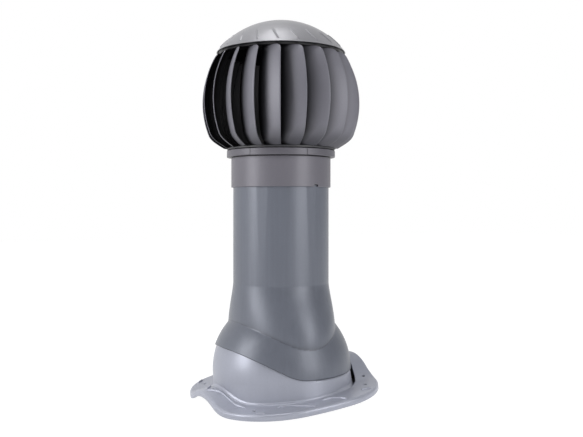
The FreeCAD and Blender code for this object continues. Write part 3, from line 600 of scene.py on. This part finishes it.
def domeGrid():
    # ball above its middle, a step for the hood's hem up the roof, flared skirt below, straight wall inside
    f, plate = SimpleNamespace(**domeForm), SimpleNamespace(**baseForm)
    angles = np.linspace(0, 2 * math.pi, f.columns, endpoint=False)[None, :]
    cosA, sinA = np.cos(angles), np.sin(angles)
    ball, wall, top = f.outer, f.wall, f.rise
    inner = ball - wall
    step = -np.clip(cosA, 0, None) * ball * math.tan(math.radians(plate.pitch))
    step = step - f.hemGap * np.clip(cosA * f.hemBlend, 0, 1)
    under = waveHeight(f.foot * cosA, f.foot * sinA, plate.wall)
    uphill = f.foot * cosA > plate.trenchStart
    foot = np.where(uphill, trenchFloor(f.foot * cosA) - plate.wall, under) + f.footLift
    # the whole dome takes an even painted shade, a little darker than the plate
    rows, level = startRows(angles, f.shade)

    def onBall(radius, height):
        # how far a ball reaches from its axis at a height
        return np.sqrt(radius ** 2 - height ** 2)

    for t in np.linspace(1, 0, f.skirtRows):
        height = foot + (step - foot) * (1 - t)
        level(ball + (f.foot - ball) * -height / f.skirt, height)
    for t in np.linspace(0, 1, f.stepRows):
        level(onBall(ball, step * (1 - t)), step * (1 - t))
    for height in np.linspace(0, top - f.edgeDown, f.ballRows)[1:]:
        level(onBall(ball, height), height)
    level(onBall(ball, top) - f.edgeIn, top)
    level(onBall(ball, top) - wall + f.edgeIn, top)
    for height in np.linspace(top - f.edgeDown, 0, f.insideRows):
        level(onBall(inner, height), height)
    level(inner, foot)
    sheet = np.vstack(rows)
    return pitched(sheet[..., :3]), sheet[..., 3]


def ridgeGrid(path, mirror):
    # half-round bead along a smooth path, tapering to a point at both ends
    f = SimpleNamespace(**ridgeForm)
    knots = np.array(path, dtype=float) * (1.0, mirror)
    place = np.linspace(0, len(knots) - 1, f.steps)
    line = np.column_stack([np.interp(place, np.arange(len(knots)), knots[:, i]) for i in range(2)])
    # no bead runs onto the rolled edge
    far = outlineReach(np.arctan2(line[:, 1], line[:, 0])) - baseForm["edge"] - f.clear
    line *= np.minimum(1.0, far / np.hypot(line[:, 0], line[:, 1]))[:, None]
    for _ in range(f.smoothing):
        line[1:-1] = (line[:-2] + 2 * line[1:-1] + line[2:]) / 4
    along = np.gradient(line, axis=0)
    along /= np.linalg.norm(along, axis=1, keepdims=True)
    fromEnd = np.minimum(np.arange(f.steps), np.arange(f.steps)[::-1])
    taper = np.clip(fromEnd / f.taperSteps, 0, 1)[:, None] ** 0.5
    arc = np.linspace(0, math.pi, f.section)[None, :]
    over = np.hstack([f.half * np.cos(arc), -f.half * np.cos(arc[:, 1:-1])])
    lift = np.hstack([(f.height + f.sink) * np.sin(arc), 0 * arc[:, 1:-1]]) * taper - f.sink
    x = line[:, :1] - along[:, 1:] * over * taper
    y = line[:, 1:] + along[:, :1] * over * taper
    grid = pitched(np.dstack([x, y, waveHeight(x, y, 0.0) + lift]))
    return grid, np.zeros(grid.shape[:2])


def makeBase():
    # plate, dome and ridges are shells of one piece, each with its own painted shade
    ridges = [ridgeGrid(path, mirror) for path in ridgeForm["paths"] for mirror in (1.0, -1.0)]
    plate, dome = plateGrid(), domeGrid()
    grids = [(plate[0], True), (dome[0], True)] + [(points, False) for points, _ in ridges]
    across = np.concatenate([shadeMap(shade.ravel()) for _, shade in (plate, dome, *ridges)])
    makePiece("baseSkin", grids, "stand", "basePlastic", ["roof_flange"], across=across)


makeBase()


# neck collar: sleeve, ledge and flange, with faint mould seams and one notch
collarForm = dict(sleeveIn=80.2, sleeveOut=83.2, foot=pipeForm["flatTop"], pipeTop=pipeForm["top"],
                  flangeFoot=393.0, flangeTop=404.0, flange=90.6, flangeShade=0.30,
                  bore=76.0, ledge=73.0, ledgeTop=391.0, grooveHeight=1.3, grooveDepth=1.4,
                  seams=6, seamTurn=30.0, seamHalf=0.55, seamDepth=0.5, seamEase=0.7, seamShade=0.30,
                  seamColumns=(0.3, 0.5, 0.7, 1.1, 1.8, 3, 5, 8, 12, 18, 24, 30),
                  notchTurn=285.5, notchHalf=2.8, notchHeight=2.6, notchColumns=(0.5, 0.97, 1.03, 1.3),
                  footBand=2.0, notchBand=1.2, rimBand=1.5, faceGap=0.5)


def makeCollar():
    # profile of (radius, height, rounding) corners carried round the axis; seams draw the flange's rim in,
    # and the notch lifts the foot
    f = SimpleNamespace(**collarForm)
    grooveFoot, grooveFace = f.flangeFoot - f.grooveHeight, f.sleeveOut - f.grooveDepth
    corners = [(f.sleeveIn, f.foot, 0.4), (f.sleeveOut, f.foot, 0.7),
               (f.sleeveOut, grooveFoot, 0.4), (grooveFace, grooveFoot, 0.2),
               (grooveFace, f.flangeFoot, 0.2), (f.flange, f.flangeFoot, 0.9),
               (f.flange, f.flangeTop, 1.2), (f.bore, f.flangeTop, 0.6),
               (f.bore, f.ledgeTop, 0.3), (f.ledge, f.ledgeTop, 0.4),
               (f.ledge, f.pipeTop, 0.4), (f.sleeveIn, f.pipeTop, 0.3)]
    path = roundedPath(corners)
    # one more row just over the notch keeps its painted shade from running up the sleeve
    lowRows = int(np.sum(path[:, 1] < f.foot + f.footBand))
    overNotch = f.foot + f.notchHeight + f.notchBand
    path = np.insert(path, lowRows, (f.sleeveOut, overNotch), axis=0)
    step = 360.0 / f.seams
    near = bothWays(f.seamColumns)[:-1]
    degrees = np.sort(((f.seamTurn + step * np.arange(f.seams)[:, None] + near) % 360).ravel())
    notchNear = f.notchTurn + f.notchHalf * bothWays(f.notchColumns)
    degrees = np.unique(np.round(np.concatenate([degrees, notchNear]), 4))
    grid = turnedGrid(path, np.radians(degrees)[None, :])
    away = np.abs((degrees - f.seamTurn + step / 2) % step - step / 2)
    seam = f.seamDepth * np.clip(1 - away / f.seamHalf, 0, 1) ** f.seamEase
    onRim = (path[:, 0] > f.flange - f.rimBand)[:, None]
    shrink = np.where(onRim, 1 - seam[None, :] / f.flange, 1.0)
    grid[..., :2] *= shrink[..., None]
    low = (path[:, 1] < f.foot + f.footBand)[:, None]
    notch = low & (np.abs(degrees - f.notchTurn) < f.notchHalf)[None, :]
    grid[..., 2] += np.where(notch, f.notchHeight, 0.0)
    # painted shade: the groove and the notch are dark, the flange is a little darker than the sleeve, its
    # seams more so
    radius, height = path[:, 0], path[:, 1]
    inGroove = (radius < f.sleeveOut - f.faceGap) & (radius > f.sleeveIn) & (height > grooveFoot)
    onFlange = radius > f.sleeveOut + f.faceGap
    rowShade = np.where(inGroove, 1.0, np.where(onFlange, f.flangeShade, 0.0))
    shade = rowShade[:, None] + np.where(onRim, f.seamShade * seam[None, :] / f.seamDepth, 0.0)
    shade = np.where(notch, 1.0, shade)
    makePiece("neckCollarSkin", [(grid, True)], "stand", "collarPlastic", ["neck_collar"],
              across=shadeMap(shade))


makeCollar()


# rotor cap: shallow dome with short swept ribs, closed over its screws, blade seat and boss inside;
# rings are (from, to, count) of the circles on its outer face, up to those of the rim
capForm = dict(centre=486.01, radius=134.99, wall=2.5, rimRadius=107.99, rimHeight=567.0,
               ribs=20, ribTurn=6.2, ribSweep=6.5, ribInner=85.0, ribOuter=104.0, ribHalf=1.35, ribHeight=1.2,
               ribEnd=0.8, ribColumns=(0.3, 0.6, 0.85, 1.1, 1.35, 1.7, 2.5, 4.5, 7),
               seatIn=84.0, seatOut=103.0, seatFoot=563.0, boss=36.0, bossFoot=599.0,
               edge=0.5, rimRound=(0.1, 0.25), rimInner=0.4,
               rings=((0, 80, 28), (82, 89, 12), (89.5, 96.5, 29)), rimStart=97.5, rimRings=16,
               underStart=78.0, bossGap=3.0, underRings=8)


def makeCap():
    # profile of two balls about one centre with rim, seat and boss between them, carried round the axis;
    # the columns lean with the ribs, and each rib is a cosine bump along the dome's normal
    f = SimpleNamespace(**capForm)
    inner, edge = f.radius - f.wall, f.edge

    def onBall(radius, r):
        # points at distance r from the axis on a ball about the cap's centre
        r = np.atleast_1d(r)
        return np.column_stack([r, f.centre + np.sqrt(radius ** 2 - r * r)])

    step = 360.0 / f.ribs
    near = bothWays(f.ribColumns)
    degrees = np.sort((f.ribTurn + step * np.arange(f.ribs)[:, None] + near).ravel() % 360)
    rimRing = (f.rimStart, f.rimRadius - edge, f.rimRings)
    outR = np.concatenate([np.linspace(*ring) for ring in (*f.rings, rimRing)])
    underR = np.linspace(f.underStart, f.boss + f.bossGap, f.underRings)
    count = len(outR)
    rimIn = math.sqrt(inner ** 2 - (f.rimHeight - f.centre) ** 2)
    roundIn, roundUp = f.rimRound
    rim = [(f.rimRadius - roundIn, f.rimHeight + roundUp), (f.rimRadius - edge, f.rimHeight),
           (rimIn + f.rimInner, f.rimHeight), (rimIn, f.rimHeight + edge)]
    seat = [(f.seatOut, f.seatFoot + edge), (f.seatOut - edge, f.seatFoot),
            (f.seatIn + edge, f.seatFoot), (f.seatIn, f.seatFoot + edge)]
    boss = [(f.boss, f.bossFoot + edge), (f.boss - edge, f.bossFoot), (0.0, f.bossFoot)]
    path = np.vstack([onBall(f.radius, outR), rim, onBall(inner, f.seatOut), seat,
                      onBall(inner, f.seatIn), onBall(inner, underR), onBall(inner, f.boss), boss])
    # on the outside the columns lean back towards the middle, as the ribs do
    ribLength = f.ribOuter - f.ribInner
    back = np.zeros(len(path))
    back[:count] = f.ribSweep / ribLength * np.clip(f.ribOuter - outR, 0, ribLength)
    grid = turnedGrid(path, np.radians(degrees[None, :] - back[:, None]))
    away = np.abs((degrees - f.ribTurn + step / 2) % step - step / 2)
    bump = 0.5 + 0.5 * np.cos(math.pi * np.clip(away / f.ribHalf, 0, 1))
    along = np.zeros(len(path))
    along[:count] = (np.clip((outR - f.ribInner) / f.ribEnd, 0, 1)
                     * np.clip((f.ribOuter - outR) / f.ribEnd, 0, 1))
    rise = f.ribHeight * along[:, None] * bump[None, :]
    normal = grid - np.array([0.0, 0.0, f.centre])
    normal /= np.linalg.norm(normal, axis=-1, keepdims=True)
    grid = grid + normal * rise[..., None]
    # painted shade: all rows past the rim's outer edge are inside, and darkened
    inwards = np.repeat((np.arange(len(path)) > count + 1)[:, None], degrees.size, 1).astype(float)
    makePiece("rotorCapSkin", [(grid, False)], "rotor", "capPlastic",
              ["rotor_cap", "cap_screws"], across=shadeMap(inwards))


makeCap()


# blades: curled strips, rounded at the outer top corner
bladeForm = dict(count=20, turn=7.7, wall=1.8, foot=408.0, top=capForm["seatFoot"], shoulder=421.95,
                 bellyHeight=483.95, bellyRise=139.97, belly=131.7, footRadius=95.5, shoulderBlend=9.0,
                 midShare=0.912, midTurn=8.8, innerShare=0.816, innerTurn=18.2, topRound=8.0,
                 footStep=0.4, taperStart=2.0, shoulderStep=0.8, bellyStart=3.0,
                 taperRows=6, bellyRows=40, roundRows=9, acrossSteps=26, edgeSteps=7)


def bladeReach(heights):
    # the smaller of an oval belly and a straight taper to the foot, softly joined at the shoulder
    f = SimpleNamespace(**bladeForm)
    belly = f.belly * np.sqrt(1 - ((heights - f.bellyHeight) / f.bellyRise) ** 2)
    shoulder = f.belly * math.sqrt(1 - ((f.shoulder - f.bellyHeight) / f.bellyRise) ** 2)
    foot, rise = f.footRadius, f.shoulder - f.foot
    taper = foot + (shoulder - foot) * (heights - f.foot) / rise
    return -smoothMax(-belly, -taper, f.shoulderBlend)


def bladeArc():
    # centre, radius and end angles of the circle through the outer, middle and inner points, for reach 1
    f = SimpleNamespace(**bladeForm)
    turns = np.radians([0.0, -f.midTurn, -f.innerTurn])
    x, y = np.array([1.0, f.midShare, f.innerShare]) * np.array([np.cos(turns), np.sin(turns)])
    system = np.column_stack([2 * x, 2 * y, np.ones(3)])
    cx, cy, rest = np.linalg.solve(system, x * x + y * y)
    radius = math.sqrt(rest + cx * cx + cy * cy)
    ends = np.unwrap(np.arctan2(y - cy, x - cx))
    return cx, cy, radius, ends[0], ends[2]


def makeBlades():
    # each level is the arc of bladeArc, scaled by the reach there and given a wall with round edges;
    # the strip is closed at both ends and turned about the axis once for each blade
    f = SimpleNamespace(**bladeForm)
    cx, cy, arc, start, end = bladeArc()
    shoulder, roundFoot = f.shoulder, f.top - f.topRound
    roundTurn = np.linspace(0.1, 1, f.roundRows) * math.pi / 2
    heights = np.concatenate([
        [f.foot, f.foot + f.footStep],
        np.linspace(f.foot + f.taperStart, shoulder - f.shoulderStep, f.taperRows),
        [shoulder, shoulder + f.shoulderStep],
        np.linspace(shoulder + f.bellyStart, roundFoot, f.bellyRows),
        f.top - f.topRound * (1 - np.sin(roundTurn))])
    reach = bladeReach(heights)[:, None]
    length = abs(end - start) * arc * reach                # along the strip, in mm
    rise = np.clip(heights - roundFoot, 0, None)[:, None]
    cut = (f.topRound - np.sqrt(np.clip(f.topRound ** 2 - rise ** 2, 0, None))) / length
    share = cut + (1 - cut) * np.linspace(0, 1, f.acrossSteps)[None, :]
    half = f.wall / 2
    edgeTurn = np.linspace(0, math.pi, f.edgeSteps)[1:-1]       # rounded long edges
    angle = start + (end - start) * share
    # the strip's middle line is half a wall inside the outer face
    middle = arc * reach - half
    sign = 1.0 if end > start else -1.0
    outEdge = angle[:, :1] - sign * np.sin(edgeTurn)[None, :] * half / middle
    inEdge = angle[:, -1:] + sign * np.sin(edgeTurn)[None, :] * half / middle
    loopAngle = np.hstack([angle, inEdge, angle[:, ::-1], outEdge])
    face, bend = half * np.ones_like(angle), np.cos(edgeTurn)[None, :] * half * np.ones_like(inEdge)
    radius = middle + np.hstack([face, bend, -face, -bend])
    # painted shade: the strip darkens inwards, and the inner face counts as all the way in
    outShare = np.repeat(share[:, :1], edgeTurn.size, 1)
    loopShare = np.hstack([share, np.ones_like(inEdge), np.ones_like(share), outShare])
    x = cx * reach + radius * np.cos(loopAngle)
    y = cy * reach + radius * np.sin(loopAngle)
    z = np.repeat(heights[:, None], x.shape[1], 1)
    strip = np.dstack([x, y, z])
    # the second share, height from the foot, gives the painted shade near the foot
    across = np.dstack([loopShare, (z - f.foot) / (f.top - f.foot)])

    def lid(row):
        # the open end closes on its own middle line
        count = f.acrossSteps
        line = (row[:count] + row[count + edgeTurn.size:2 * count + edgeTurn.size][::-1]) / 2
        ends = np.repeat(line[-1:], edgeTurn.size, 0), np.repeat(line[:1], edgeTurn.size, 0)
        return np.vstack([line, ends[0], line[::-1], ends[1]])

    strip = np.vstack([lid(strip[0])[None], strip, lid(strip[-1])[None]])
    across = np.vstack([across[:1], across, across[-1:]])
    for number in range(f.count):
        turnBy = math.radians(f.turn + 360.0 * number / f.count)
        cosT, sinT = math.cos(turnBy), math.sin(turnBy)
        turned = np.dstack([strip[..., 0] * cosT - strip[..., 1] * sinT,
                            strip[..., 0] * sinT + strip[..., 1] * cosT, strip[..., 2]])
        makePiece(f"bladeSkin_{number + 1:02d}", [(turned, False)], "rotor", "bladePlastic",
                  [f"blade_{number + 1:02d}"], across=across)


makeBlades()


# ring that the blades' feet stand on, near black as painted shadow
ringForm = dict(bore=72.0, outer=90.0, foot=405.0, top=bladeForm["foot"], rounding=0.6, columns=144)


def makeBladeRing():
    # rounded box section carried round the axis
    f = SimpleNamespace(**ringForm)
    section = ((f.bore, f.foot), (f.outer, f.foot), (f.outer, f.top), (f.bore, f.top))
    corners = [(r, z, f.rounding) for r, z in section]
    angles = np.linspace(0, 2 * math.pi, f.columns, endpoint=False)[None, :]
    grid = turnedGrid(roundedPath(corners), angles)
    makePiece("bladeRingSkin", [(grid, True)], "rotor", "ringPaintedShadow", ["blade_ring"])


makeBladeRing()


# CAD nodes that stay: their own finishes, with the races and balls of both bearings in bearing steel
# bracket and housing are near black: painted shade for the rotor's inside
nodeFinishes = {"bearing_bracket": "innerPaintedShade", "bearing_housing": "innerPaintedShade",
                "axle": "platedSteel", "axle_nuts": "platedSteel", "axle_washers": "platedSteel",
                "bearing_spacer": "platedSteel", "retaining_rings": "platedSteel",
                "housing_screws": "platedSteel"}
for nodeName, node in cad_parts.items():
    finishName = nodeFinishes.get(nodeName, "bearingSteel" if "_bearing_" in nodeName else None)
    if finishName is not None:
        node.data.materials.clear()
        node.data.materials.append(materials[finishName])
print("CAD nodes finished")


# studio: pale floor and backdrop, soft lights; places are given in the camera's frame: right, front, up
rightAxis = np.array([math.cos(turn), math.sin(turn), 0.0])
frontAxis = np.array([math.sin(turn), -math.cos(turn), 0.0])
white = (1.0, 1.0, 1.0, 1.0)
studio = dict(floorHeight=-0.0112, floorSize=12.0, floorColour=(0.80, 0.80, 0.80, 1.0), floorRough=0.9,
              floorGlow=1.22, floorShare=0.8, worldStrength=0.17, backdropFade=(-0.75, 0.3, 1.0, 0.2),
              fadeTurn=32.0, aim=(0.0, 0.0, 0.3))


def seenRays(nodes, links):
    # 1 for rays that show the backdrop: straight to the camera, mirrored or passed through
    rays = nodes.new("ShaderNodeLightPath")
    total = rays.outputs["Is Camera Ray"]
    for label in ("Is Glossy Ray", "Is Transmission Ray"):
        total = largerOf(nodes, links, total, rays.outputs[label])
    return total


def paleFloor():
    # a matt floor that keeps the shadow, mixed with a white glow for the rays that show the backdrop
    material = bpy.data.materials.new("paleFloor")
    material.use_nodes = True
    nodes, links = material.node_tree.nodes, material.node_tree.links
    matt = nodes["Principled BSDF"]
    matt.inputs["Base Color"].default_value = studio["floorColour"]
    matt.inputs["Roughness"].default_value = studio["floorRough"]
    glow = nodes.new("ShaderNodeEmission")
    glow.inputs["Color"].default_value = white
    glow.inputs["Strength"].default_value = studio["floorGlow"]
    keep = nodes.new("ShaderNodeMath")
    keep.operation = "MULTIPLY"
    keep.inputs[1].default_value = studio["floorShare"]
    links.new(seenRays(nodes, links), keep.inputs[0])
    blend = nodes.new("ShaderNodeMixShader")
    links.new(keep.outputs[0], blend.inputs["Fac"])
    links.new(matt.outputs["BSDF"], blend.inputs[1])
    links.new(glow.outputs["Emission"], blend.inputs[2])
    links.new(blend.outputs["Shader"], nodes["Material Output"].inputs["Surface"])
    return material


def makeFloor():
    # one square at the floor's height
    half, height = studio["floorSize"] / 2, studio["floorHeight"]
    corners = [(x * half, y * half, height) for x, y in ((-1, -1), (1, -1), (1, 1), (-1, 1))]
    floorMesh = bpy.data.meshes.new("studioFloor")
    floorMesh.from_pydata(corners, [], [(0, 1, 2, 3)])
    floorMesh.materials.append(paleFloor())
    studioFloor = bpy.data.objects.new("studioFloor", floorMesh)
    scene.collection.objects.link(studioFloor)


makeFloor()


def makeWorld():
    # dim light all round, and a backdrop for the rays that show it: white to the camera, and in mirrored
    # rays white behind the part and to its left, fading to a dim room on the other side
    world = bpy.data.worlds.new("studioWorld")
    scene.world = world
    world.use_nodes = True
    nodes, links = world.node_tree.nodes, world.node_tree.links
    seen, lit = nodes["Background"], nodes.new("ShaderNodeBackground")
    for light in (seen, lit):
        light.inputs["Color"].default_value = white
    lit.inputs["Strength"].default_value = studio["worldStrength"]
    dimTurn = math.radians(studio["fadeTurn"])
    toward = nodes.new("ShaderNodeVectorMath")
    toward.operation = "DOT_PRODUCT"
    toward.inputs[1].default_value = tuple(frontAxis * math.cos(dimTurn) + rightAxis * math.sin(dimTurn))
    links.new(nodes.new("ShaderNodeTexCoord").outputs["Generated"], toward.inputs[0])
    fade = nodes.new("ShaderNodeMapRange")
    for label, value in zip(("From Min", "From Max", "To Min", "To Max"), studio["backdropFade"]):
        fade.inputs[label].default_value = value
    links.new(toward.outputs["Value"], fade.inputs["Value"])
    straight = nodes.new("ShaderNodeLightPath").outputs["Is Camera Ray"]
    links.new(largerOf(nodes, links, straight, fade.outputs["Result"]), seen.inputs["Strength"])
    blend = nodes.new("ShaderNodeMixShader")
    links.new(seenRays(nodes, links), blend.inputs["Fac"])
    links.new(lit.outputs["Background"], blend.inputs[1])
    links.new(seen.outputs["Background"], blend.inputs[2])
    links.new(blend.outputs["Shader"], nodes["World Output"].inputs["Surface"])


makeWorld()


def softBox(name, right, front, up, width, height, power):
    # area lamp that faces the studio's aim: tilted up from straight down, then turned about the vertical
    data = bpy.data.lights.new(name, "AREA")
    data.shape = "RECTANGLE"
    data.size, data.size_y = width, height
    data.energy = power
    lamp = bpy.data.objects.new(name, data)
    scene.collection.objects.link(lamp)
    place = rightAxis * right + frontAxis * front + np.array([0, 0, up])
    lamp.location = place.tolist()
    direction = np.array(studio["aim"]) - place
    direction = direction / np.linalg.norm(direction)
    lamp.rotation_euler = (math.acos(-direction[2]), 0.0, math.atan2(direction[0], -direction[1]) + math.pi)


lamps = {"leftBox": dict(right=-1.60, front=0.75, up=0.85, width=0.80, height=1.4, power=21.5),
         "rightBox": dict(right=1.25, front=1.05, up=0.72, width=0.75, height=1.4, power=15.0),
         "topBox": dict(right=-0.12, front=0.05, up=1.9, width=0.7, height=0.6, power=9.0)}
for lampName, lampForm in lamps.items():
    softBox(lampName, **lampForm)
print("studio lit")
